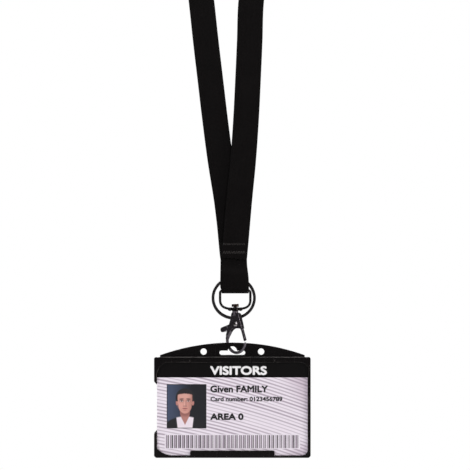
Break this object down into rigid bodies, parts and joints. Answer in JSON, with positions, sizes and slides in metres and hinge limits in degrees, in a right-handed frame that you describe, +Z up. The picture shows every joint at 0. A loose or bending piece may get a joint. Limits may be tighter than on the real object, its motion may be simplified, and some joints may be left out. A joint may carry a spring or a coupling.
{
  "type": "lanyard badge holder",
  "caption": "Neck lanyard with a folded strap, swivel trigger hook and split ring, carrying a rigid open-faced landscape holder with an ID card.",
  "frame": {"origin": "nape, where the middle of the strap rests on the back of the neck", "axes": "+Z up, the front of the card faces -Y, +X is the wearer's left"},
  "size_m": [0.1148, 0.1245, 0.4779],
  "materials": {
    "webbing": "satin polyester ribbon",
    "thread": "polyester thread",
    "gunmetal": "black nickel plate, polished",
    "spring_steel": "bright wire",
    "black_plastic": "moulded, semi-gloss",
    "card_plastic": "printed and laminated"
  },
  "bodies": {
    "strap": {"neck_strap": "webbing", "strap_loop": "webbing", "seam_stitching": "thread"},
    "ring": {"split_ring": "gunmetal"},
    "eye": {"swivel_eye": "gunmetal"},
    "hook": {"hook_body": "gunmetal", "swivel_rivet": "gunmetal", "lever_rivet": "gunmetal", "lever_spring": "spring_steel"},
    "lever": {"trigger_lever": "gunmetal"},
    "holder": {"card_holder": "black_plastic"},
    "card": {"id_card": "card_plastic"}
  },
  "joints": [
    {"name": "eye_swing", "type": "hinge", "parent": "strap", "child": "eye", "pos_m": [0.0067, -0.114, -0.37685], "axis": [1, 0, 0], "range_deg": [-75, 0]},
    {"name": "ring_swing", "type": "hinge", "parent": "strap", "child": "ring", "pos_m": [0.006, -0.114, -0.37145], "axis": [1, 0, 0], "range_deg": [0, 15]},
    {"name": "hook_swivel", "type": "hinge", "parent": "eye", "child": "hook", "pos_m": [0.0067, -0.114, -0.3901], "axis": [0, 0, 1], "continuous": true},
    {"name": "lever_press", "type": "hinge", "parent": "hook", "child": "lever", "pos_m": [0.00767, -0.11487, -0.396], "axis": [0.6691, 0.7431, 0], "range_deg": [0, 22], "stiffness_Nm_per_rad": 0.02, "springref_deg": -17.19, "deforming": ["lever_spring"]},
    {"name": "holder_swing", "type": "hinge", "parent": "hook", "child": "holder", "pos_m": [0.00507, -0.11253, -0.41138], "axis": [0, 1, 0], "range_deg": [-20, 20]},
    {"name": "card_slide", "type": "slide", "parent": "holder", "child": "card", "axis": [-1, 0, 0], "range_m": [0, 0.08]}
  ]
}
